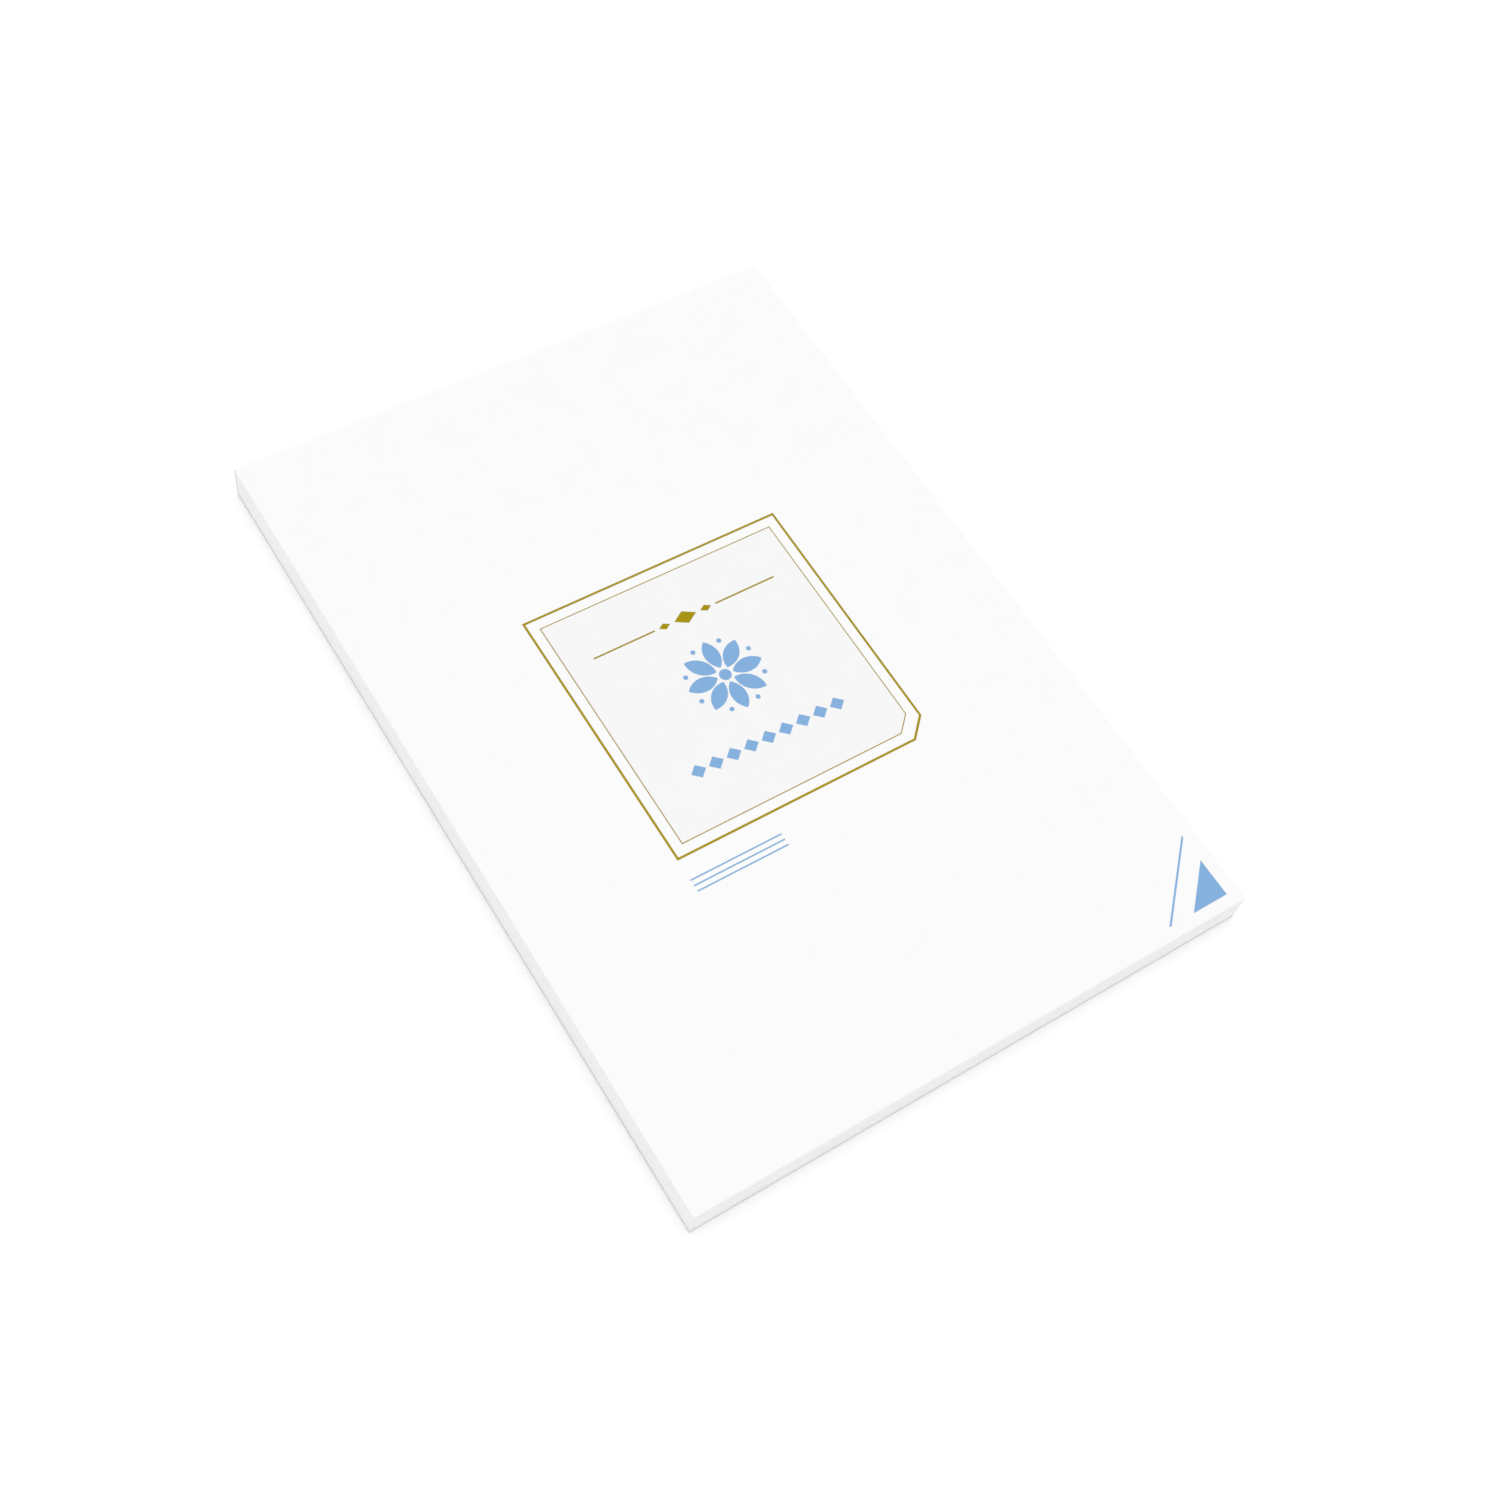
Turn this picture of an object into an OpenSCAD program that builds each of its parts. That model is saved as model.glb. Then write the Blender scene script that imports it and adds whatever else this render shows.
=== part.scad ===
// Writing pad: sheets glued along the head on a stiff board, with a white card cover
// that folds over the head. The pad lies flat with its board down.
// X runs across the pad, +Y points to the glued head and +Z is up. The origin is the
// middle of the underside.

/* [Sheets] */
// Width of a sheet, A5 across
sheet_width = 148; // [105:1:297]
// Length of a sheet from foot to head, A5 along
sheet_length = 210; // [148:1:420]
// Thickness of one sheet, 90 grams per square metre
sheet_thickness = 0.105; // [0.07:0.005:0.2]
// Number of sheets in the pad
sheet_count = 80; // [30:1:120]

/* [Page ruling] */
// Distance from one ruled line to the next
ruling_pitch = 8; // [5:0.5:12]
// Width of a ruled line
ruling_line_width = 0.2; // [0.1:0.05:0.5]
// Bare height above the first ruled line
ruling_head_margin = 26; // [10:1:50]
// Bare height kept below the last ruled line
ruling_foot_margin = 12; // [5:1:40]

/* [Board and glue] */
// Thickness of the back board
board_thickness = 1.5; // [0.5:0.1:3]
// Thickness of the glue brushed on the head of the sheets and board
glue_thickness = 0.4; // [0.25:0.05:0.8]

/* [Cover] */
// Thickness of the cover card
card_thickness = 0.3; // [0.2:0.05:0.6]
// Inside radius of the fold at the head
fold_inner_radius = 0.3; // [0.15:0.05:0.4]
// Air between the closed cover and the first sheet
cover_gap = 0.06; // [0.04:0.01:0.2]

/* [Print thickness] */
// Thickness of the pale tint inside the frame
tint_thickness = 0.02; // [0.02:0.01:0.05]
// Thickness of gold and blue print
ink_thickness = 0.03; // [0.02:0.01:0.06]

/* [Gold frame] */
// Side of the square outer rule
frame_side = 70; // [60:1:90]
// Width of the outer rule
outer_rule_width = 0.56; // [0.3:0.02:1]
// Leg of the cut corner of the outer rule
outer_corner_cut = 5; // [3:0.5:10]
// Distance from the outer edge of the outer rule to the inner rule
rule_step = 3; // [2:0.1:4]
// Width of the inner rule
inner_rule_width = 0.24; // [0.12:0.02:0.5]
// Leg of the cut corner of the inner rule
inner_corner_cut = 4; // [2:0.5:8]
// Distance of the middle of the frame above the middle of the sheet
frame_raise = 0.5; // [-10:0.5:20]

/* [Gold divider in the frame] */
// Length of the gold divider
divider_length = 50; // [36:1:56]
// Height of the gold divider above the middle of the frame
divider_raise = 19; // [15:0.5:24]
// Width of the gold divider's thin rules
divider_rule_width = 0.4; // [0.2:0.05:0.8]
// Half length of the gold divider's middle lozenge
divider_lozenge_reach = 3; // [1.5:0.1:4]
// Half height of the gold divider's middle lozenge
divider_lozenge_rise = 1.8; // [0.8:0.1:2.5]
// Size of the two side lozenges against the middle one
side_lozenge_share = 0.5; // [0.3:0.05:0.8]
// Clear space between neighbouring marks of the gold divider
divider_space = 1.2; // [0.6:0.1:2]

/* [Blue rosette in the frame] */
// Reach of the rosette from its middle
rosette_radius = 10; // [8:0.5:11]
// Height of the rosette above the middle of the frame
rosette_raise = 1; // [-2:0.5:3]
// Number of petals
petal_count = 8; // [6:1:9]
// Greatest width of a petal
petal_width = 3.8; // [2:0.1:4]
// Radius of the rosette's middle dot
rosette_dot_radius = 1.5; // [0.8:0.1:2]
// Clear space between the middle dot and the petals
rosette_dot_space = 0.6; // [0.4:0.1:1.5]
// Radius of the small dots between the petals' tips
tip_dot_radius = 0.6; // [0.3:0.1:0.8]

/* [Blue band in the frame] */
// Length of the band of lozenges
band_length = 42; // [30:1:54]
// Number of lozenges in the band
band_count = 9; // [5:1:11]
// Clear space between neighbouring lozenges
band_space = 0.8; // [0.5:0.1:2]
// Height of the band
band_height = 3.6; // [1.5:0.1:4.5]
// Distance of the band below the middle of the frame
band_drop = 18; // [14:0.5:24]

/* [Ruling mark below the frame] */
// Length of the mark's lines
mark_length = 24; // [12:1:40]
// Number of lines in the mark
mark_lines = 3; // [2:1:4]
// Distance from one line of the mark to the next
mark_pitch = 1.5; // [1:0.1:2]
// Width of a line of the mark
mark_line_width = 0.35; // [0.2:0.05:0.6]
// Distance from the frame down to the mark's first line
mark_drop = 5.5; // [3:0.5:12]

/* [Corner print] */
// Bare card between the corner triangle and the cover's long edge
corner_side_margin = 3.4; // [2:0.1:8]
// Bare card between the corner triangle and the cover's foot
corner_foot_margin = 3; // [2:0.1:8]
// Leg of the corner triangle
corner_triangle_leg = 9.8; // [5:0.1:14]
// Leg from the triangle's square corner to the diagonal rule
corner_diagonal_leg = 17; // [16:0.1:30]
// Width of the diagonal rule
corner_diagonal_width = 0.46; // [0.2:0.02:1]

/* [Hidden] */

card_white = "#FBFBFA";
sheet_white = "#F6F6F3";
board_grey = "#D9D8D3";
glue_grey = "#DADAD2";
tint_grey = "#F5F5F5";
gold = "#B68B23";
blue = "#88B3E0";
ruling_grey = "#A9ADC6";

// Along the pad: foot of the sheets, head of the sheets, inside and outside of the wrap
pad_length = sheet_length + glue_thickness + card_thickness;
foot_y = -pad_length / 2;
sheet_head_y = foot_y + sheet_length;
wrap_inner_y = sheet_head_y + glue_thickness;
pad_head_y = wrap_inner_y + card_thickness;
sheet_middle_y = foot_y + sheet_length / 2;
side_x = sheet_width / 2;

// Up the pad: board, sheets, air, card
block_top = board_thickness + sheet_count * sheet_thickness;
leaf_bottom = block_top + cover_gap;
cover_top = leaf_bottom + card_thickness;
panel_top = cover_top + tint_thickness;

// The fold at the head: its arcs share one centre line, and the leaf starts above it
fold_outer_radius = fold_inner_radius + card_thickness;
crease_y = pad_head_y - fold_outer_radius;
fold_z = cover_top - fold_outer_radius;

// Places of the print
frame_y = sheet_middle_y + frame_raise;
inner_side = frame_side - 2 * rule_step;
panel_side = inner_side - 2 * inner_rule_width;
diagonal = sqrt(2);

arc_facets = 96;

// Leg of the cut corner of a line that runs inside a cut square at a steady distance
function inset_cut(cut, distance) = cut - distance * (2 - diagonal);

// Flat piece of card, paper or ink that lies on height z
module layer(z, thickness) {
    translate([0, 0, z])
        linear_extrude(height = thickness)
            children();
}

// Section in the plane of Y and Z, drawn out over the full width of the pad
module across_pad() {
    translate([-side_x, 0, 0])
        rotate([90, 0, 90])
            linear_extrude(height = sheet_width)
                children();
}

module sheet_outline() {
    translate([-side_x, foot_y])
        square([sheet_width, sheet_length]);
}

// Square around the middle of the frame with its corner at the foot's right cut off
module cut_square(side, cut) {
    half = side / 2;
    polygon([
        [-half, -half],
        [half - cut, -half],
        [half, cut - half],
        [half, half],
        [-half, half]
    ]);
}

// Rule of an even width round a cut square, measured over its outer edge
module cut_rule(side, cut, width) {
    difference() {
        cut_square(side, cut);
        cut_square(side - 2 * width, inset_cut(cut, width));
    }
}

module lozenge(reach, rise) {
    polygon([[-reach, 0], [0, -rise], [reach, 0], [0, rise]]);
}

// Bar that stands centred on height 0, from x = start to x = end
module flat_bar(start, end, width) {
    translate([start, -width / 2])
        square([end - start, width]);
}

// Petal from radius start to radius end, bounded by two equal arcs
module petal(start, end, width) {
    half_length = (end - start) / 2;
    half_width = width / 2;
    arc_radius = (half_length * half_length + half_width * half_width) / (2 * half_width);
    arc_offset = arc_radius - half_width;
    translate([start + half_length, 0])
        intersection() {
            translate([0, arc_offset])
                circle(r = arc_radius, $fn = arc_facets);
            translate([0, -arc_offset])
                circle(r = arc_radius, $fn = arc_facets);
        }
}

// Right triangle in the corner at the foot's right, with its square corner outside
module corner_shape(leg) {
    translate([side_x - corner_side_margin, foot_y + corner_foot_margin])
        polygon([[0, 0], [0, leg], [-leg, 0]]);
}

module in_frame(raise) {
    translate([0, frame_y + raise])
        children();
}

module back_board() {
    color(board_grey)
        layer(0, board_thickness)
            sheet_outline();
}

module page_block() {
    color(sheet_white)
        layer(board_thickness, sheet_count * sheet_thickness)
            sheet_outline();
}

// Ruled lines of the first sheet, printed from edge to edge
module page_ruling() {
    first_y = sheet_head_y - ruling_head_margin;
    last_y = foot_y + ruling_foot_margin;
    color(ruling_grey)
        layer(block_top, cover_gap / 2)
            for (line_y = [first_y : -ruling_pitch : last_y])
                translate([0, line_y])
                    flat_bar(-side_x, side_x, ruling_line_width);
}

// Glue film over the head of the board and the sheets, up to where the card folds
module head_glue() {
    color(glue_grey)
        across_pad()
            translate([sheet_head_y, 0])
                square([glue_thickness, fold_z]);
}

// The cover card's fixed part: down over the head, with a rounded fold at the top
module head_wrap() {
    color(card_white)
        across_pad() {
            translate([wrap_inner_y, 0])
                square([card_thickness, fold_z]);
            intersection() {
                translate([crease_y, fold_z])
                    difference() {
                        circle(r = fold_outer_radius, $fn = arc_facets);
                        circle(r = fold_inner_radius, $fn = arc_facets);
                    }
                translate([crease_y, fold_z])
                    square(fold_outer_radius);
            }
        }
}

// The cover card's free leaf, which turns on the crease at the head
module front_cover() {
    color(card_white)
        layer(leaf_bottom, card_thickness)
            translate([-side_x, foot_y])
                square([sheet_width, crease_y - foot_y]);
}

module frame_tint() {
    color(tint_grey)
        layer(cover_top, tint_thickness)
            in_frame(0)
                cut_square(panel_side, inset_cut(inner_corner_cut, inner_rule_width));
}

module outer_rule() {
    color(gold)
        layer(cover_top, ink_thickness)
            in_frame(0)
                cut_rule(frame_side, outer_corner_cut, outer_rule_width);
}

module inner_rule() {
    color(gold)
        layer(cover_top, ink_thickness)
            in_frame(0)
                cut_rule(inner_side, inner_corner_cut, inner_rule_width);
}

// Lozenge in the middle, then on each side a smaller lozenge and a thin rule
module gold_divider() {
    side_reach = divider_lozenge_reach * side_lozenge_share;
    side_rise = divider_lozenge_rise * side_lozenge_share;
    side_lozenge_x = divider_lozenge_reach + divider_space + side_reach;
    rule_start = side_lozenge_x + side_reach + divider_space;
    color(gold)
        layer(panel_top, ink_thickness)
            in_frame(divider_raise) {
                lozenge(divider_lozenge_reach, divider_lozenge_rise);
                for (side = [0, 1])
                    mirror([side, 0]) {
                        translate([side_lozenge_x, 0])
                            lozenge(side_reach, side_rise);
                        flat_bar(rule_start, divider_length / 2, divider_rule_width);
                    }
            }
}

// Dot, a ring of pointed petals and a small dot between each two tips
module blue_rosette() {
    petal_start = rosette_dot_radius + rosette_dot_space;
    petal_turn = 360 / petal_count;
    color(blue)
        layer(panel_top, ink_thickness)
            in_frame(rosette_raise) {
                circle(r = rosette_dot_radius, $fn = arc_facets);
                for (count = [0 : petal_count - 1])
                    rotate(90 + count * petal_turn) {
                        petal(petal_start, rosette_radius, petal_width);
                        rotate(petal_turn / 2)
                            translate([rosette_radius - tip_dot_radius, 0])
                                circle(r = tip_dot_radius, $fn = arc_facets);
                    }
            }
}

// Row of equal lozenges, with the same space between each two
module lozenge_band() {
    reach = (band_length - (band_count - 1) * band_space) / band_count / 2;
    pitch = 2 * reach + band_space;
    color(blue)
        layer(panel_top, ink_thickness)
            in_frame(-band_drop)
                for (count = [0 : band_count - 1])
                    translate([(count - (band_count - 1) / 2) * pitch, 0])
                        lozenge(reach, band_height / 2);
}

// Short lines under the frame's left end, the sign for ruled pages
module ruling_mark() {
    color(blue)
        layer(cover_top, ink_thickness)
            for (line = [0 : mark_lines - 1])
                in_frame(-frame_side / 2 - mark_drop - line * mark_pitch)
                    flat_bar(-frame_side / 2, mark_length - frame_side / 2, mark_line_width);
}

module corner_triangle() {
    color(blue)
        layer(cover_top, ink_thickness)
            corner_shape(corner_triangle_leg);
}

// Thin band along the long side of a larger triangle in the same corner
module corner_diagonal() {
    band_leg = corner_diagonal_width * diagonal;
    reach = corner_diagonal_leg - band_leg;
    color(blue)
        layer(cover_top, ink_thickness)
            translate([side_x - corner_side_margin, foot_y + corner_foot_margin])
                polygon([
                    [0, reach],
                    [0, corner_diagonal_leg],
                    [-corner_diagonal_leg, 0],
                    [-reach, 0]
                ]);
}

back_board();
page_block();
page_ruling();
head_glue();
head_wrap();
front_cover();
frame_tint();
outer_rule();
inner_rule();
gold_divider();
blue_rosette();
lozenge_band();
ruling_mark();
corner_triangle();
corner_diagonal();
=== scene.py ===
"""Finishes and stage of a writing pad: ruled sheets glued at the head under a white card cover."""

import math
import random
from collections import namedtuple

import bmesh
import bpy
from bpy.props import FloatProperty, FloatVectorProperty, IntProperty, PointerProperty
from mathutils import Matrix, Vector


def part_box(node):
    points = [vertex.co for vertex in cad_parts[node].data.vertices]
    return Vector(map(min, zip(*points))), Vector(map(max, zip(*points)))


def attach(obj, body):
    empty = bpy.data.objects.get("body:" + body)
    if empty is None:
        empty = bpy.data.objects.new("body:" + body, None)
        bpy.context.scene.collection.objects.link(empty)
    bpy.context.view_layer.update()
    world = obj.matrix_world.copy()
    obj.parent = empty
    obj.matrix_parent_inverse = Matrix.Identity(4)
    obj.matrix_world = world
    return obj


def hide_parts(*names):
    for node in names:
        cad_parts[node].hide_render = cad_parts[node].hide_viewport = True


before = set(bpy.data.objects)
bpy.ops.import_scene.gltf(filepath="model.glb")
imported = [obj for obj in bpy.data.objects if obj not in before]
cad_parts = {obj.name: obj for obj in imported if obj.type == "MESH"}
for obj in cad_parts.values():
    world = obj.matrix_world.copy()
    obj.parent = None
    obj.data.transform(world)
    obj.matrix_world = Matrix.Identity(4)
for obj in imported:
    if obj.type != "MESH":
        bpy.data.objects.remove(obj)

bl_info = {
    "name": "Writing Pad",
    "version": (1, 0, 0),
    "blender": (4, 5, 0),
    "location": "View3D > Sidebar > Writing Pad",
    "description": "Dresses a glued writing pad: trimmed sheets, board, glue, card cover and print",
    "category": "Add Mesh",
}

MM = 0.001
PAD_BODY = "pad"
GOLD_PIECES = ("outer_rule", "inner_rule", "gold_divider")
BLUE_PIECES = ("blue_rosette", "lozenge_band", "ruling_mark", "corner_triangle", "corner_diagonal")
BLOCK_LOW, BLOCK_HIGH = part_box("page_block")
BOARD_LOW, BOARD_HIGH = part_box("back_board")
PAD_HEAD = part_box("head_wrap")[1][1]
COVER_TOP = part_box("front_cover")[1][2]
TRIM_SEED = 7
PHOTO_SIDE_PX = 1500
SENSOR_WIDTH_MM = 36.0
NEAR_CLIP = 10 * MM
WHITE = (1.0, 1.0, 1.0)
EVEN = (1.0, 1.0, 1.0)


def colour(name, description, red, green, blue):
    """A colour that the user can set, in linear light."""
    return FloatVectorProperty(
        name=name, description=description, subtype="COLOR", size=3, min=0.0, max=1.0,
        default=(red, green, blue),
    )


def length(name, description, default):
    """A length that the user can set, in metres."""
    return FloatProperty(
        name=name, description=description, default=default, min=0.0, precision=6,
        subtype="DISTANCE", unit="LENGTH",
    )


def place_along(name, description, default):
    """A place along an axis that the user can set, in metres, on either side of its zero."""
    return FloatProperty(
        name=name, description=description, default=default, subtype="DISTANCE", unit="LENGTH",
    )


def angle(name, description, degrees):
    """An angle that the user can set."""
    return FloatProperty(
        name=name, description=description, default=math.radians(degrees), subtype="ANGLE",
        unit="ROTATION",
    )


class PadSheetSettings(bpy.types.PropertyGroup):
    """Sizes and colours of the sheets."""

    count: IntProperty(
        name="Sheets", description="Number of sheets in the block", default=80, min=2, max=200,
    )
    air: length("Air", "Air between two neighbouring sheets", 0.004 * MM)
    trim_step: length("Trim step", "How far one sheet's edge stands behind the next", 0.035 * MM)
    trim_wave: length("Trim wave", "How much one sheet's edge wavers along its run", 0.02 * MM)
    edge_spacing: length("Edge spacing", "Distance between the points of a sheet's edge", 14 * MM)
    paper: colour("Paper", "Colour of the sheets", 0.9, 0.9, 0.88)
    # Painted light: the trimmed edges are the paper's own colour painted paler than the pages, to
    # make up for the shade in the air between the sheets
    paper_edge_painted_paler: colour("Paper edge", "Colour of the trimmed edges", 0.955, 0.955, 0.955)
    ruling: colour("Ruling", "Colour of the ruled lines", 0.26, 0.28, 0.46)


class PadCardSettings(bpy.types.PropertyGroup):
    """Colours and surface of the cover card."""

    face: colour("Face", "Colour of the coated outside", 0.93, 0.93, 0.93)
    inside: colour("Inside", "Colour of the uncoated inside", 0.89, 0.885, 0.865)
    cut_edge: colour("Cut edge", "Colour of the card's cut edges", 0.88, 0.88, 0.87)
    tooth_size: length("Tooth size", "Size of the grains of the card's surface", 0.3 * MM)
    tooth_depth: length("Tooth depth", "Depth of the grains of the card's surface", 0.006 * MM)


class PadPrintSettings(bpy.types.PropertyGroup):
    """Colours of the print on the cover."""

    gold: colour("Gold", "Colour of the gold foil", 0.34, 0.248, 0.001)
    blue: colour("Blue", "Colour of the blue ink", 0.201, 0.402, 0.689)
    tint: colour("Tint", "Colour of the pale field in the frame", 0.893, 0.893, 0.895)
    grain_size: length("Grain size", "Size of the specks in ink and foil", 0.18 * MM)


class PadBoardSettings(bpy.types.PropertyGroup):
    """Colours of the back board and the glue."""

    board: colour("Board", "Colour of the board", 0.74, 0.735, 0.72)
    dark_fleck: colour("Dark fleck", "Colour of the board's dark fibres", 0.42, 0.41, 0.39)
    pale_fleck: colour("Pale fleck", "Colour of the board's pale fibres", 0.85, 0.845, 0.83)
    fibre_size: length("Fibre size", "Width of the fibres in the board", 0.25 * MM)
    glue: colour("Glue", "Colour of the dried glue", 0.62, 0.62, 0.58)


class PadStageSettings(bpy.types.PropertyGroup):
    """Floor, light and camera."""

    floor: colour("Floor", "Colour of the floor", 0.95, 0.95, 0.95)
    floor_reach: length("Floor reach", "Half the side of the floor", 3.0)
    floor_lap: length("Floor lap", "How far the floor reaches under the pad's rim", 0.2 * MM)
    floor_lift: FloatProperty(
        name="Floor lift", description="How much paler than its light the floor looks",
        default=0.05, min=0.0, max=1.0,
    )
    shadow_reach: length("Shadow reach", "How far from the pad the floor shows shadow", 0.5)
    sky: FloatProperty(
        name="Sky", description="Strength of the even light from all round", default=0.9,
        min=0.0, max=2.0,
    )
    lamp_power: FloatProperty(
        name="Lamp", description="Power of the soft lamp overhead", default=10.0, min=0.0,
        unit="POWER",
    )
    lamp_side: length("Lamp side", "Side of the square lamp", 3.0)
    lamp_height: length("Lamp height", "Height of the lamp over the floor", 2.2)
    camera_azimuth: angle("Azimuth", "Heading of the camera from the pad's length", -44.7)
    camera_elevation: angle("Elevation", "Angle at which the camera looks down", 59.5)
    camera_roll: angle("Roll", "Turn of the camera about its own line of sight", 14.3)
    camera_distance: length("Distance", "From the camera to where it aims on the cover", 0.4775)
    aim_across: place_along("Aim across", "Where the camera aims, across the pad", -5.7 * MM)
    aim_along: place_along("Aim along", "Where the camera aims, along the pad", -18.7 * MM)
    focal_px: FloatProperty(
        name="Focal length", description="Focal length in pixels of the 1500 pixel photograph",
        default=2088.5, min=100.0,
    )


# A cloudy pattern: the size of its features against a given unit, its detail and roughness,
# and how it is stretched along the three axes (below 1 draws it out, above 1 packs it)
Pattern = namedtuple("Pattern", "size detail roughness stretch", defaults=(3.0, 0.55, EVEN))
# Where most of a pattern's values lie
PATTERN_MIDDLE = (0.25, 0.75)
# A surface counts as facing along an axis where its normal's part on that axis is above this
FACING = 0.5


class NodeGraph:
    """A node tree, with short ways to add and join its nodes."""

    def __init__(self, tree):
        self.tree = tree
        self.tree.nodes.clear()

    def join(self, socket, value):
        """Links another node's output to a socket, or writes a number or colour in it."""
        if isinstance(value, bpy.types.NodeSocket):
            self.tree.links.new(value, socket)
        elif socket.type == "RGBA":
            socket.default_value = (*value, 1.0)
        else:
            socket.default_value = value

    def node(self, kind, values=None, **settings):
        """Adds a node; values are what its sockets hold or are joined to."""
        made = self.tree.nodes.new(kind)
        for key, setting in settings.items():
            setattr(made, key, setting)
        for socket, value in (values or {}).items():
            self.join(made.inputs[socket], value)
        return made

    def math(self, operation, first, second=0.0):
        """The outcome of one sum, product or comparison."""
        return self.node("ShaderNodeMath", {0: first, 1: second}, operation=operation).outputs[0]

    def seen_directly(self):
        """1 where the camera, a gloss or a glass looks this way, 0 for scattered light."""
        path = self.node("ShaderNodeLightPath")
        mirror = self.math(
            "MAXIMUM", path.outputs["Is Glossy Ray"], path.outputs["Is Transmission Ray"],
        )
        return self.math("MAXIMUM", path.outputs["Is Camera Ray"], mirror)


class Finish(NodeGraph):
    """A node material for one finish, with patterns in the piece's own coordinates."""

    def __init__(self, name):
        self.material = bpy.data.materials.new(name)
        self.material.use_nodes = True
        super().__init__(self.material.node_tree)
        self.output = self.node("ShaderNodeOutputMaterial")
        self.coordinates = self.node("ShaderNodeTexCoord")

    def surface(self, shader):
        """Ends the material with a shader, and hands the material over."""
        self.join(self.output.inputs["Surface"], shader)
        return self.material

    def noise(self, pattern, unit=MM):
        """A pattern's values, from 0 to 1, with its size given in the unit."""
        place = self.node("ShaderNodeMapping", {
            "Vector": self.coordinates.outputs["Object"], "Scale": pattern.stretch,
        })
        made = self.node("ShaderNodeTexNoise", {
            "Vector": place.outputs["Vector"], "Scale": 1.0 / (pattern.size * unit),
            "Detail": pattern.detail, "Roughness": pattern.roughness,
        })
        return made.outputs["Fac"]

    def span(self, value, ends, over=PATTERN_MIDDLE):
        """Values over one range spread between two ends, and held at the ends beyond it."""
        return self.node("ShaderNodeMapRange", {
            "Value": value, "From Min": over[0], "From Max": over[1],
            "To Min": ends[0], "To Max": ends[1],
        }).outputs["Result"]

    def mix(self, share, first, second, blend_type="MIX"):
        """Two colours mixed, or multiplied, by a share from 0 to 1."""
        made = self.node(
            "ShaderNodeMix", {"Factor": share}, data_type="RGBA", blend_type=blend_type,
        )
        sockets = [socket for socket in made.inputs if socket.type == "RGBA"]
        for socket, value in zip(sockets, (first, second)):
            self.join(socket, value)
        return next(socket for socket in made.outputs if socket.type == "RGBA")

    def shade(self, base, share):
        """A colour made brighter or darker by a factor that varies over the surface."""
        grey = self.node("ShaderNodeCombineColor", {"Red": share, "Green": share, "Blue": share})
        return self.mix(1.0, base, grey.outputs["Color"], "MULTIPLY")

    def bump(self, height, depth, under=None):
        """Normals of a relief of the given depth in metres."""
        values = {"Height": height, "Distance": depth, "Strength": 1.0}
        if under is not None:
            values["Normal"] = under
        return self.node("ShaderNodeBump", values).outputs["Normal"]

    def split(self, coordinates):
        """The three parts of a place or of a normal in the piece's own coordinates."""
        return self.node("ShaderNodeSeparateXYZ", {
            "Vector": self.coordinates.outputs[coordinates],
        }).outputs

    def facing(self, axis):
        """How far the surface faces along one of its own axes, from -1 to 1."""
        return self.split("Normal")[axis]

    def principled(self, base, roughness, normal, **values):
        """Ends the material with the one shader that suits paper, ink, foil, board and glue."""
        shader = self.node("ShaderNodeBsdfPrincipled", {
            "Base Color": base, "Roughness": roughness, "Normal": normal, **values,
        })
        return self.surface(shader.outputs["BSDF"])


# The card's patterns, against the size of its tooth, and its tones and roughness
CARD_GRAIN = Pattern(1.0, detail=4.0, roughness=0.6)
CARD_SWELL = Pattern(18.0)
CARD_CLOUD = Pattern(30.0, detail=2.0)
CARD_FIBRE = Pattern(0.4, stretch=(0.15, 0.15, 3.0))
CARD_SPECK = Pattern(0.7)
CARD_FACE_TONE = (0.997, 1.003)
CARD_INSIDE_TONE = (0.993, 1.004)
CARD_CUT_TONE = (0.9, 1.04)
CARD_ROUGHNESS = (0.46, 0.56)
INSIDE_EXTRA_ROUGHNESS = 0.25
CARD_IOR = 1.45


def card_tooth(finish, card):
    """Relief of the card's coated face, a fine grain over a slow swell."""
    grain = finish.noise(CARD_GRAIN, card.tooth_size)
    swell = finish.noise(CARD_SWELL, card.tooth_size)
    return finish.bump(swell, card.tooth_depth, finish.bump(grain, card.tooth_depth))


def card_finish(name, card, cut_edge_mask, inside_mask):
    """Coated white card; the masks say where its raw edges and its uncoated inside are."""
    finish = Finish(name)
    cloud = finish.noise(CARD_CLOUD, card.tooth_size)
    fibre = finish.noise(CARD_FIBRE, card.tooth_size)
    speck = finish.noise(CARD_SPECK, card.tooth_size)
    face = finish.shade(card.face, finish.span(cloud, CARD_FACE_TONE))
    inside = finish.shade(card.inside, finish.span(cloud, CARD_INSIDE_TONE))
    raw = finish.shade(card.cut_edge, finish.span(fibre, CARD_CUT_TONE))
    sides = finish.mix(inside_mask(finish), face, inside)
    whole = finish.mix(cut_edge_mask(finish), sides, raw)
    dull = finish.math("MULTIPLY", inside_mask(finish), INSIDE_EXTRA_ROUGHNESS)
    rough = finish.math("ADD", finish.span(speck, CARD_ROUGHNESS), dull)
    return finish.principled(whole, rough, card_tooth(finish, card), IOR=CARD_IOR)


def flat_piece_edges(finish):
    """1 on the upright edges of a sheet, board or leaf that lies flat."""
    flat = finish.math("ABSOLUTE", finish.facing("Z"))
    return finish.math("LESS_THAN", flat, FACING)


def leaf_inside(finish):
    """1 on the side of the closed cover that looks down on the first sheet."""
    return finish.math("LESS_THAN", finish.facing("Z"), -FACING)


def wrap_edges(finish):
    """1 on the wrap's cut edges: its two ends and its lower rim."""
    ends = finish.math("GREATER_THAN", finish.math("ABSOLUTE", finish.facing("X")), FACING)
    bottom = finish.math("LESS_THAN", finish.facing("Z"), -FACING)
    return finish.math("MAXIMUM", ends, bottom)


def wrap_inside(finish):
    """1 on the wrap's side that is glued to the head."""
    return finish.math("LESS_THAN", finish.facing("Y"), -FACING)


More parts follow.
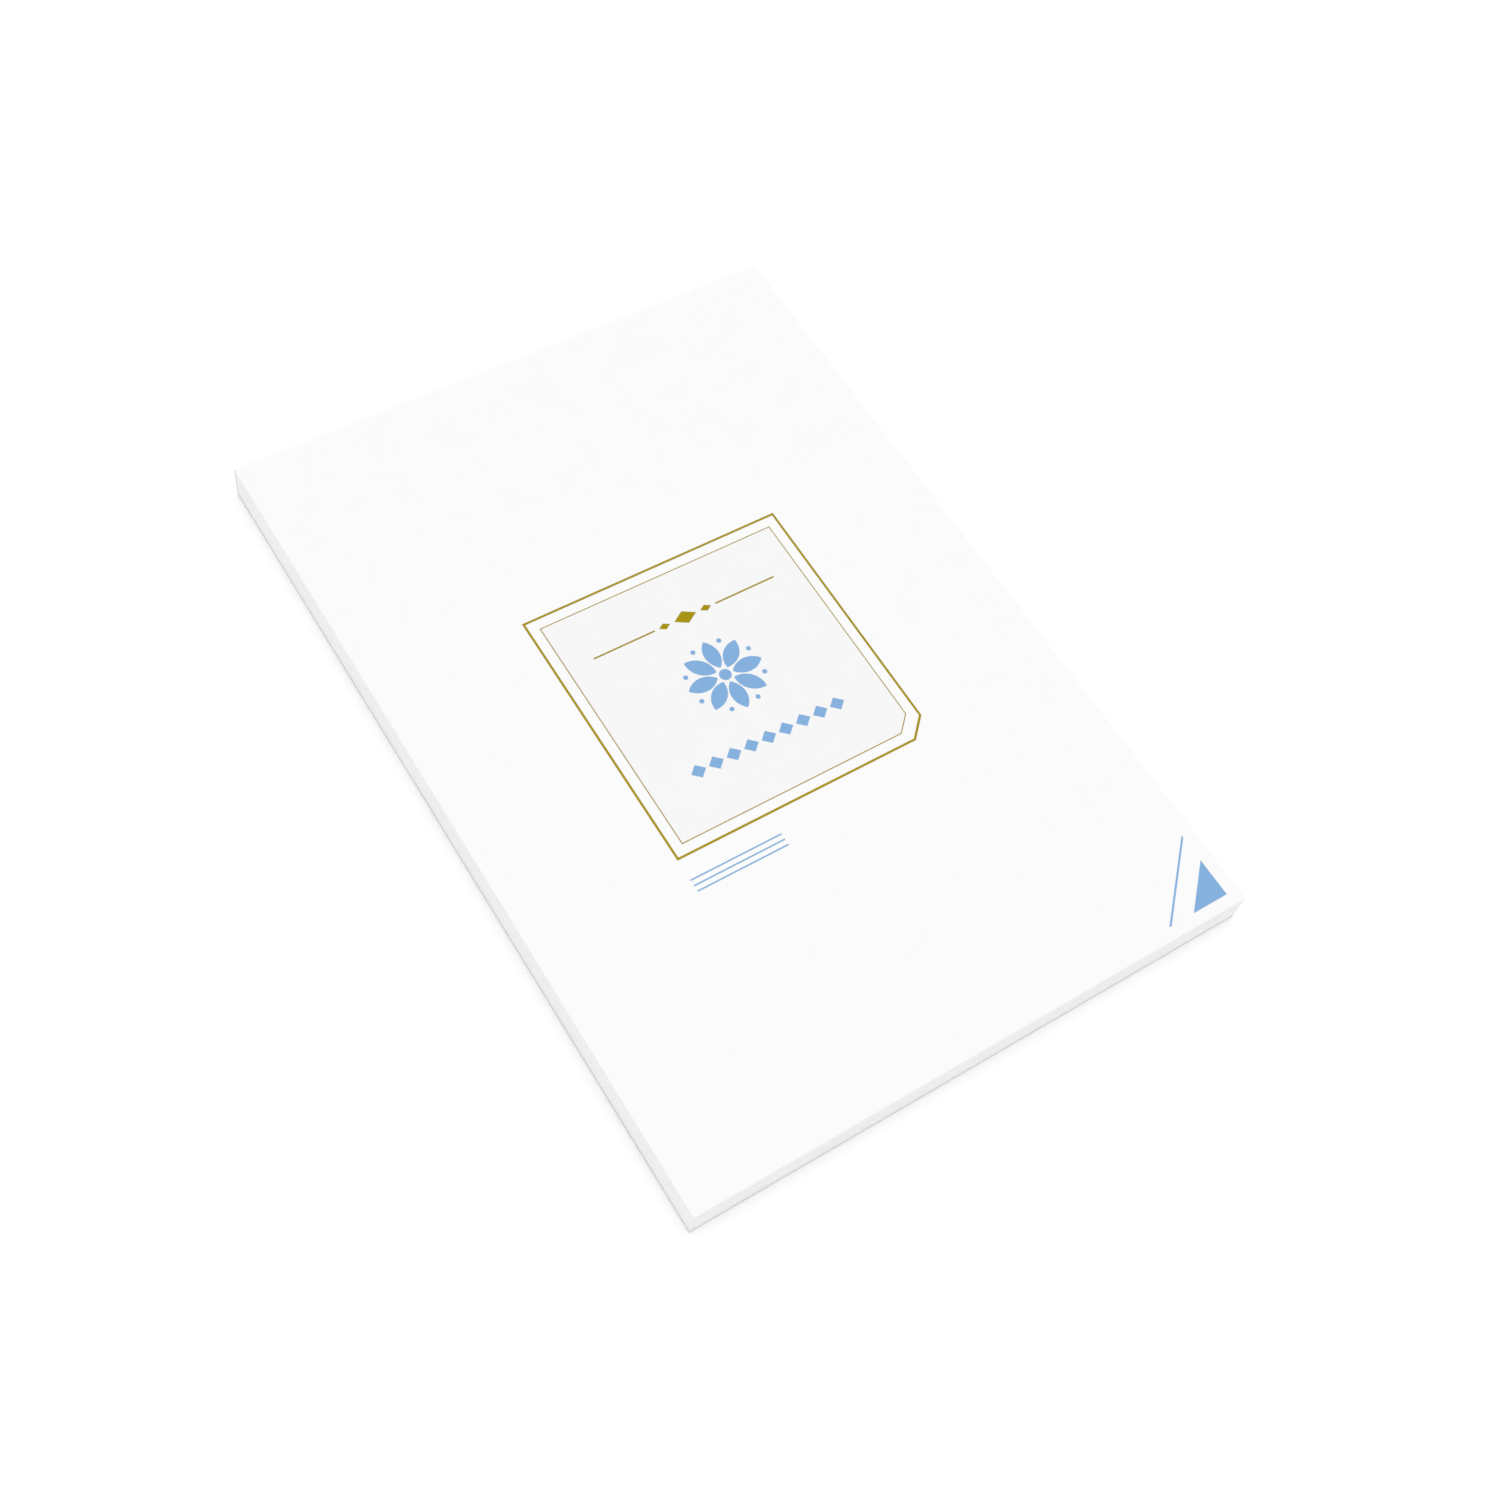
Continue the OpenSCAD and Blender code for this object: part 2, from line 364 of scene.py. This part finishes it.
# The sheets' patterns in millimetres, and their tones and roughness
PAGE_CLOUD = Pattern(6.0, detail=2.0)
PAPER_PULP = Pattern(0.35, detail=5.0, roughness=0.65, stretch=(1.0, 0.5, 1.0))
KNIFE_DRAG = Pattern(0.09, stretch=(1.0, 1.0, 0.12))
PAGE_TONE = (0.988, 1.006)
SHEET_EDGE_TONE = (0.965, 1.015)
KNIFE_DRAG_TONE = (0.97, 1.02)
PAPER_ROUGHNESS = (0.74, 0.86)
PULP_DEPTH = 0.008 * MM
PAPER_IOR = 1.4


def sheet_finish(sheets):
    """Smooth writing paper; on the trimmed edges each sheet has its own slight tone, over an edge
    colour that is the paper's own colour painted paler than the pages to offset the shade between
    the sheets.
    """
    finish = Finish("writing paper")
    pitch = (BLOCK_HIGH[2] - BLOCK_LOW[2]) / sheets.count
    above_board = finish.math("SUBTRACT", finish.split("Object")["Z"], BLOCK_LOW[2])
    number = finish.math("FLOOR", finish.math("DIVIDE", above_board, pitch))
    tone = finish.node("ShaderNodeTexWhiteNoise", {"W": number}, noise_dimensions="1D")
    cloud = finish.noise(PAGE_CLOUD)
    pulp = finish.noise(PAPER_PULP)
    drag = finish.noise(KNIFE_DRAG)
    page = finish.shade(sheets.paper, finish.span(cloud, PAGE_TONE))
    edge_tone = finish.span(tone.outputs["Value"], SHEET_EDGE_TONE, over=(0.0, 1.0))
    # The edge colour carries painted light: paler than the pages' paper, to offset the shade in the
    # gaps between the sheets
    edge = finish.shade(sheets.paper_edge_painted_paler, edge_tone)
    edge = finish.shade(edge, finish.span(drag, KNIFE_DRAG_TONE))
    whole = finish.mix(flat_piece_edges(finish), page, edge)
    rough = finish.span(pulp, PAPER_ROUGHNESS)
    return finish.principled(whole, rough, finish.bump(pulp, PULP_DEPTH), IOR=PAPER_IOR)


# The ruling's pattern in millimetres, how much paper its gaps show, and its roughness
RULING_GAPS = Pattern(0.16, detail=4.0, roughness=0.7)
RULING_GAPS_START = (0.5, 0.75)
PAPER_IN_GAPS = (0.0, 0.35)
RULING_ROUGHNESS = (0.6, 0.75)
RULING_DEPTH = 0.004 * MM
INK_IOR = 1.45


def ruling_finish(sheets):
    """Thin offset print that lets some paper show through."""
    finish = Finish("ruling ink")
    gaps = finish.noise(RULING_GAPS)
    worn = finish.span(gaps, PAPER_IN_GAPS, over=RULING_GAPS_START)
    whole = finish.mix(worn, sheets.ruling, sheets.paper)
    rough = finish.span(gaps, RULING_ROUGHNESS)
    return finish.principled(whole, rough, finish.bump(gaps, RULING_DEPTH), IOR=INK_IOR)


# The foil's grain against the print's grain size, its drift in millimetres, and its look
FOIL_GRAIN = Pattern(1.0, detail=4.0, roughness=0.65)
FOIL_DRIFT = Pattern(9.0, detail=1.0)
FOIL_GRAIN_TONE = (0.94, 1.05)
FOIL_DRIFT_TONE = (0.97, 1.03)
FOIL_ROUGHNESS = (0.34, 0.46)
FOIL_METALLIC = 0.9
FOIL_IOR = 1.5


def gold_finish(print_look, card):
    """Matt gold foil stamped on the card, with the card's tooth under it."""
    finish = Finish("gold foil")
    grain = finish.noise(FOIL_GRAIN, print_look.grain_size)
    drift = finish.noise(FOIL_DRIFT)
    whole = finish.shade(print_look.gold, finish.span(grain, FOIL_GRAIN_TONE))
    whole = finish.shade(whole, finish.span(drift, FOIL_DRIFT_TONE))
    rough = finish.span(grain, FOIL_ROUGHNESS)
    return finish.principled(
        whole, rough, card_tooth(finish, card), Metallic=FOIL_METALLIC, IOR=FOIL_IOR,
    )


# The inks' specks against the print's grain size, their cloud in millimetres, and their look
INK_SPECKS = Pattern(1.0, detail=4.0, roughness=0.7)
INK_CLOUD = Pattern(7.0, detail=2.0)
BLUE_SPECK_TONE = (0.975, 1.025)
TINT_SPECK_TONE = (0.995, 1.005)
INK_CLOUD_TONE = (0.995, 1.005)
INK_ROUGHNESS = (0.42, 0.54)


def ink_finish(name, ink, speck_tone, card, print_look):
    """Offset ink on coated card: even colour with fine specks, and the card's tooth."""
    finish = Finish(name)
    specks = finish.noise(INK_SPECKS, print_look.grain_size)
    cloud = finish.noise(INK_CLOUD)
    whole = finish.shade(ink, finish.span(specks, speck_tone))
    whole = finish.shade(whole, finish.span(cloud, INK_CLOUD_TONE))
    rough = finish.span(specks, INK_ROUGHNESS)
    return finish.principled(whole, rough, card_tooth(finish, card), IOR=INK_IOR)


# The board's patterns, against the width of its fibres, and its tones and roughness
BOARD_MAT = Pattern(1.6, detail=6.0, roughness=0.7)
BOARD_THREADS = Pattern(1.0, detail=2.0, stretch=(1.0, 0.16, 1.0))
BOARD_CROSS_THREADS = Pattern(1.0, detail=2.0, stretch=(0.16, 1.0, 1.0))
BOARD_LAYERS = Pattern(0.8, detail=3.0, stretch=(0.08, 0.08, 1.6))
BOARD_CLOUD = Pattern(60.0, detail=3.0)
BOARD_MAT_TONE = (0.95, 1.05)
BOARD_CLOUD_TONE = (0.97, 1.03)
BOARD_LAYER_TONE = (0.88, 1.08)
FLECK_SHARE = (0.0, 0.6)
DARK_FLECK_START = (0.68, 0.78)
PALE_FLECK_START = (0.66, 0.76)
BOARD_ROUGHNESS = (0.82, 0.93)
BOARD_DEPTH = 0.02 * MM


def board_finish(board):
    """Grey board of waste paper: matted fibres on its faces, pressed layers at its edges."""
    finish = Finish("grey board")
    mat = finish.noise(BOARD_MAT, board.fibre_size)
    threads = finish.noise(BOARD_THREADS, board.fibre_size)
    cross_threads = finish.noise(BOARD_CROSS_THREADS, board.fibre_size)
    layers = finish.noise(BOARD_LAYERS, board.fibre_size)
    cloud = finish.noise(BOARD_CLOUD, board.fibre_size)
    whole = finish.shade(board.board, finish.span(mat, BOARD_MAT_TONE))
    whole = finish.shade(whole, finish.span(cloud, BOARD_CLOUD_TONE))
    dark = finish.span(threads, FLECK_SHARE, over=DARK_FLECK_START)
    pale = finish.span(cross_threads, FLECK_SHARE, over=PALE_FLECK_START)
    whole = finish.mix(dark, whole, board.dark_fleck)
    whole = finish.mix(pale, whole, board.pale_fleck)
    edge = finish.shade(board.board, finish.span(layers, BOARD_LAYER_TONE))
    whole = finish.mix(flat_piece_edges(finish), whole, edge)
    relief = finish.bump(mat, BOARD_DEPTH, finish.bump(layers, BOARD_DEPTH))
    return finish.principled(whole, finish.span(mat, BOARD_ROUGHNESS), relief, IOR=PAPER_IOR)


# The glue's patterns in millimetres, and its tones and roughness
GLUE_STREAKS = Pattern(0.3, detail=4.0, stretch=(0.05, 1.0, 1.0))
GLUE_POOLS = Pattern(3.0, detail=2.0)
GLUE_STREAK_TONE = (0.93, 1.06)
GLUE_POOL_TONE = (0.96, 1.03)
GLUE_ROUGHNESS = (0.3, 0.42)
GLUE_DEPTH = 0.03 * MM
GLUE_IOR = 1.47


def glue_finish(board):
    """Dried glue film with the streaks of its brush along the head."""
    finish = Finish("padding glue")
    streaks = finish.noise(GLUE_STREAKS)
    pools = finish.noise(GLUE_POOLS)
    whole = finish.shade(board.glue, finish.span(streaks, GLUE_STREAK_TONE))
    whole = finish.shade(whole, finish.span(pools, GLUE_POOL_TONE))
    rough = finish.span(pools, GLUE_ROUGHNESS)
    return finish.principled(whole, rough, finish.bump(streaks, GLUE_DEPTH), IOR=GLUE_IOR)


def dress(node, material):
    """Gives a solid of the frame its finish in every material slot."""
    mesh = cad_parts[node].data
    if not mesh.materials:
        mesh.materials.append(material)
    for index in range(len(mesh.materials)):
        mesh.materials[index] = material


def mesh_piece(name, work, material):
    """Turns a bmesh into an object of the scene with one material."""
    bmesh.ops.recalc_face_normals(work, faces=work.faces)
    mesh = bpy.data.meshes.new(name)
    work.to_mesh(mesh)
    work.free()
    mesh.materials.append(material)
    made = bpy.data.objects.new(name, mesh)
    bpy.context.scene.collection.objects.link(made)
    return made


def trimmed_outline(sheets, draw):
    """One sheet's outline: straight at the glued head, slightly uneven where it was trimmed."""
    low, high = BLOCK_LOW, BLOCK_HIGH
    wide = max(2, round((high[0] - low[0]) / sheets.edge_spacing))
    long = max(2, round((high[1] - low[1]) / sheets.edge_spacing))

    def inset(step):
        """How far inside the block's box one point of a side lies."""
        return step + draw.uniform(0.0, sheets.trim_wave)

    left, right, foot = (draw.uniform(0.0, sheets.trim_step) for side in range(3))
    points = []
    for count in range(wide):
        across = low[0] + (high[0] - low[0]) * count / wide
        points.append((max(across, low[0] + left), low[1] + inset(foot)))
    for count in range(long):
        along = low[1] + (high[1] - low[1]) * count / long
        points.append((high[0] - inset(right), max(along, low[1] + foot)))
    points.append((high[0] - right, high[1]))
    for count in range(long):
        along = high[1] - (high[1] - low[1]) * count / long
        points.append((low[0] + inset(left), along))
    return points


def add_sheet(work, outline, bottom, top):
    """One closed sheet of paper between two heights."""
    under = [work.verts.new((x, y, bottom)) for x, y in outline]
    over = [work.verts.new((x, y, top)) for x, y in outline]
    work.faces.new(under)
    work.faces.new(over)
    for index in range(len(outline)):
        after = (index + 1) % len(outline)
        work.faces.new((under[index], under[after], over[after], over[index]))


class WRITINGPAD_OT_sheets(bpy.types.Operator):
    """Builds the block of sheets one by one and rules the first page"""

    bl_idname = "writing_pad.sheets"
    bl_label = "Sheets"

    def execute(self, context):
        sheets = context.scene.pad_sheets
        draw = random.Random(TRIM_SEED)
        work = bmesh.new()
        pitch = (BLOCK_HIGH[2] - BLOCK_LOW[2]) / sheets.count
        for number in range(sheets.count):
            bottom = BLOCK_LOW[2] + number * pitch + sheets.air
            add_sheet(work, trimmed_outline(sheets, draw), bottom, bottom + pitch - sheets.air)
        block = mesh_piece("sheets", work, sheet_finish(sheets))
        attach(block, PAD_BODY)
        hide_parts("page_block")
        dress("page_ruling", ruling_finish(sheets))
        return {"FINISHED"}


class WRITINGPAD_OT_card(bpy.types.Operator):
    """Finishes the cover card: its free leaf and the part glued over the head"""

    bl_idname = "writing_pad.card"
    bl_label = "Cover card"

    def execute(self, context):
        card = context.scene.pad_card
        dress("front_cover", card_finish("cover leaf", card, flat_piece_edges, leaf_inside))
        dress("head_wrap", card_finish("cover wrap", card, wrap_edges, wrap_inside))
        return {"FINISHED"}


class WRITINGPAD_OT_print(bpy.types.Operator):
    """Finishes the gold and blue print and the pale field on the cover"""

    bl_idname = "writing_pad.print"
    bl_label = "Print"

    def execute(self, context):
        card = context.scene.pad_card
        look = context.scene.pad_print
        gold = gold_finish(look, card)
        blue = ink_finish("blue ink", look.blue, BLUE_SPECK_TONE, card, look)
        tint = ink_finish("tint ink", look.tint, TINT_SPECK_TONE, card, look)
        for node in GOLD_PIECES:
            dress(node, gold)
        for node in BLUE_PIECES:
            dress(node, blue)
        dress("frame_tint", tint)
        return {"FINISHED"}


class WRITINGPAD_OT_board(bpy.types.Operator):
    """Finishes the back board and the glue at the head"""

    bl_idname = "writing_pad.board"
    bl_label = "Board and glue"

    def execute(self, context):
        board = context.scene.pad_board
        dress("back_board", board_finish(board))
        dress("head_glue", glue_finish(board))
        return {"FINISHED"}


# The floor's slow pattern, in millimetres, and its tone
FLOOR_CLOUD = Pattern(40.0, detail=2.0)
FLOOR_TONE = (0.995, 1.005)


def floor_finish(stage):
    """Pale floor that looks white, keeps the pad's shadow and fades into the backdrop."""
    finish = Finish("studio floor")
    pale = finish.shade(stage.floor, finish.span(finish.noise(FLOOR_CLOUD), FLOOR_TONE))
    plain = finish.node("ShaderNodeBsdfDiffuse", {"Color": pale})
    shadowed = finish.node("ShaderNodeBsdfDiffuse", {"Color": WHITE})
    white = finish.node("ShaderNodeEmission", {"Strength": 1.0})
    away = finish.node("ShaderNodeVectorMath", {
        0: finish.coordinates.outputs["Object"],
    }, operation="LENGTH").outputs["Value"]
    far = finish.span(away, (0.0, 1.0), over=(stage.shadow_reach, stage.shadow_reach * 2))
    lift = finish.node("ShaderNodeEmission", {"Strength": stage.floor_lift})
    near = finish.node("ShaderNodeAddShader", {0: shadowed.outputs[0], 1: lift.outputs[0]})
    looks = finish.node("ShaderNodeMixShader", {
        0: far, 1: near.outputs[0], 2: white.outputs[0],
    })
    whole = finish.node("ShaderNodeMixShader", {
        0: finish.seen_directly(), 1: plain.outputs[0], 2: looks.outputs[0],
    })
    return finish.surface(whole.outputs[0])


def floor_corners(work, left, right, near, far):
    """Four corners of a rectangle on the floor."""
    places = ((left, near), (right, near), (right, far), (left, far))
    return [work.verts.new((x, y, 0.0)) for x, y in places]


def add_floor(stage):
    """Floor round the pad and under its rim, open in the middle so light meets the underside."""
    reach, lap = stage.floor_reach, stage.floor_lap
    work = bmesh.new()
    outside = floor_corners(work, -reach, reach, -reach, reach)
    opening = floor_corners(
        work, BOARD_LOW[0] + lap, BOARD_HIGH[0] - lap, BOARD_LOW[1] + lap, PAD_HEAD - lap,
    )
    for corner in range(4):
        after = (corner + 1) % 4
        work.faces.new((outside[corner], outside[after], opening[after], opening[corner]))
    floor = mesh_piece("studio_floor", work, floor_finish(stage))


def set_sky(scene, stage):
    """Even light from all round; seen directly it is plain white."""
    world = bpy.data.worlds.new("studio sky")
    world.use_nodes = True
    sky = NodeGraph(world.node_tree)
    strength = sky.node("ShaderNodeMapRange", {
        "Value": sky.seen_directly(), "To Min": stage.sky, "To Max": 1.0,
    })
    background = sky.node("ShaderNodeBackground", {
        "Color": WHITE, "Strength": strength.outputs["Result"],
    })
    sky.node("ShaderNodeOutputWorld", {"Surface": background.outputs[0]})
    scene.world = world


def add_lamp(scene, stage):
    """One large soft lamp straight over the pad."""
    light = bpy.data.lights.new("soft lamp", "AREA")
    light.shape = "SQUARE"
    light.size = stage.lamp_side
    light.energy = stage.lamp_power
    lamp = bpy.data.objects.new("soft_lamp", light)
    lamp.location = (0.0, 0.0, stage.lamp_height)
    scene.collection.objects.link(lamp)


def add_camera(scene, stage):
    """Camera that looks down on the pad's foot at the left, as in the photograph."""
    flat = math.cos(stage.camera_elevation)
    ahead = Vector((
        -math.sin(stage.camera_azimuth) * flat,
        math.cos(stage.camera_azimuth) * flat,
        -math.sin(stage.camera_elevation),
    ))
    level = ahead.cross(Vector((0.0, 0.0, 1.0))).normalized()
    upward = level.cross(ahead)
    turn = stage.camera_roll
    right = level * math.cos(turn) + upward * math.sin(turn)
    top = upward * math.cos(turn) - level * math.sin(turn)
    aim = Vector((stage.aim_across, stage.aim_along, COVER_TOP))
    place = aim - ahead * stage.camera_distance
    data = bpy.data.cameras.new("camera")
    data.sensor_width = SENSOR_WIDTH_MM
    data.lens = stage.focal_px / PHOTO_SIDE_PX * SENSOR_WIDTH_MM
    data.clip_start = NEAR_CLIP
    camera = bpy.data.objects.new("camera", data)
    camera.matrix_world = Matrix((
        (right.x, top.x, -ahead.x, place.x),
        (right.y, top.y, -ahead.y, place.y),
        (right.z, top.z, -ahead.z, place.z),
        (0.0, 0.0, 0.0, 1.0),
    ))
    scene.collection.objects.link(camera)
    scene.camera = camera


class WRITINGPAD_OT_stage(bpy.types.Operator):
    """Sets up the floor, the soft light and the camera"""

    bl_idname = "writing_pad.stage"
    bl_label = "Stage"

    def execute(self, context):
        scene = context.scene
        stage = scene.pad_stage
        scene.view_settings.view_transform = "Standard"
        add_floor(stage)
        set_sky(scene, stage)
        add_lamp(scene, stage)
        add_camera(scene, stage)
        return {"FINISHED"}


class WRITINGPAD_PT_panel(bpy.types.Panel):
    """Lists the pad's steps in the sidebar"""

    bl_idname = "WRITINGPAD_PT_panel"
    bl_label = "Writing Pad"
    bl_space_type = "VIEW_3D"
    bl_region_type = "UI"
    bl_category = "Writing Pad"

    def draw(self, context):
        for operator in OPERATORS:
            self.layout.operator(operator.bl_idname)


SETTINGS = {
    "pad_sheets": PadSheetSettings,
    "pad_card": PadCardSettings,
    "pad_print": PadPrintSettings,
    "pad_board": PadBoardSettings,
    "pad_stage": PadStageSettings,
}
OPERATORS = (
    WRITINGPAD_OT_sheets,
    WRITINGPAD_OT_card,
    WRITINGPAD_OT_print,
    WRITINGPAD_OT_board,
    WRITINGPAD_OT_stage,
)


def register():
    for group in SETTINGS.values():
        bpy.utils.register_class(group)
    for name, group in SETTINGS.items():
        setattr(bpy.types.Scene, name, PointerProperty(type=group))
    for operator in OPERATORS:
        bpy.utils.register_class(operator)
    bpy.utils.register_class(WRITINGPAD_PT_panel)


def unregister():
    bpy.utils.unregister_class(WRITINGPAD_PT_panel)
    for operator in reversed(OPERATORS):
        bpy.utils.unregister_class(operator)
    for name in SETTINGS:
        delattr(bpy.types.Scene, name)
    for group in reversed(SETTINGS.values()):
        bpy.utils.unregister_class(group)


def plain(box):
    """A box's two corners as lists of numbers."""
    return [[float(value) for value in corner] for corner in box]


def main():
    """Builds the whole scene."""
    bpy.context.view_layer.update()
    register()
    bpy.ops.writing_pad.sheets()
    bpy.ops.writing_pad.card()
    bpy.ops.writing_pad.print()
    bpy.ops.writing_pad.board()
    bpy.ops.writing_pad.stage()


if __name__ == "__main__":
    main()
